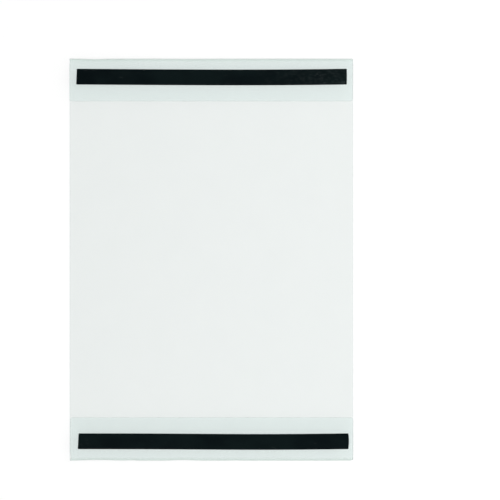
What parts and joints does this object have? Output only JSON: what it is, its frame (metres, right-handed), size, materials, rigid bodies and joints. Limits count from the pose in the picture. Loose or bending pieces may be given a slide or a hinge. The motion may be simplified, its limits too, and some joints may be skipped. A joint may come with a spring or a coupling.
{
  "type": "magnetic document pocket",
  "caption": "Clear A4 document pocket of folded film, open at its sides, with flexible magnetic strips on its back that hold it on steel.",
  "frame": {"origin": "middle of the clear front face, which the pocket lies on", "axes": "+X across the pocket from one open side to the other, +Y along its height towards the upper fold, +Z out of the magnetic back"},
  "size_m": [0.221, 0.313, 0.0063],
  "materials": {
    "clear_film": "clear, glossy",
    "magnetic_rubber": "satin black, very slightly green",
    "adhesive_tape": "matt, whitish"
  },
  "bodies": {
    "root": {"pocket_film": "clear_film", "upper_magnetic_strip": "magnetic_rubber", "lower_magnetic_strip": "magnetic_rubber", "upper_adhesive_tape": "adhesive_tape", "lower_adhesive_tape": "adhesive_tape"}
  },
  "joints": []
}
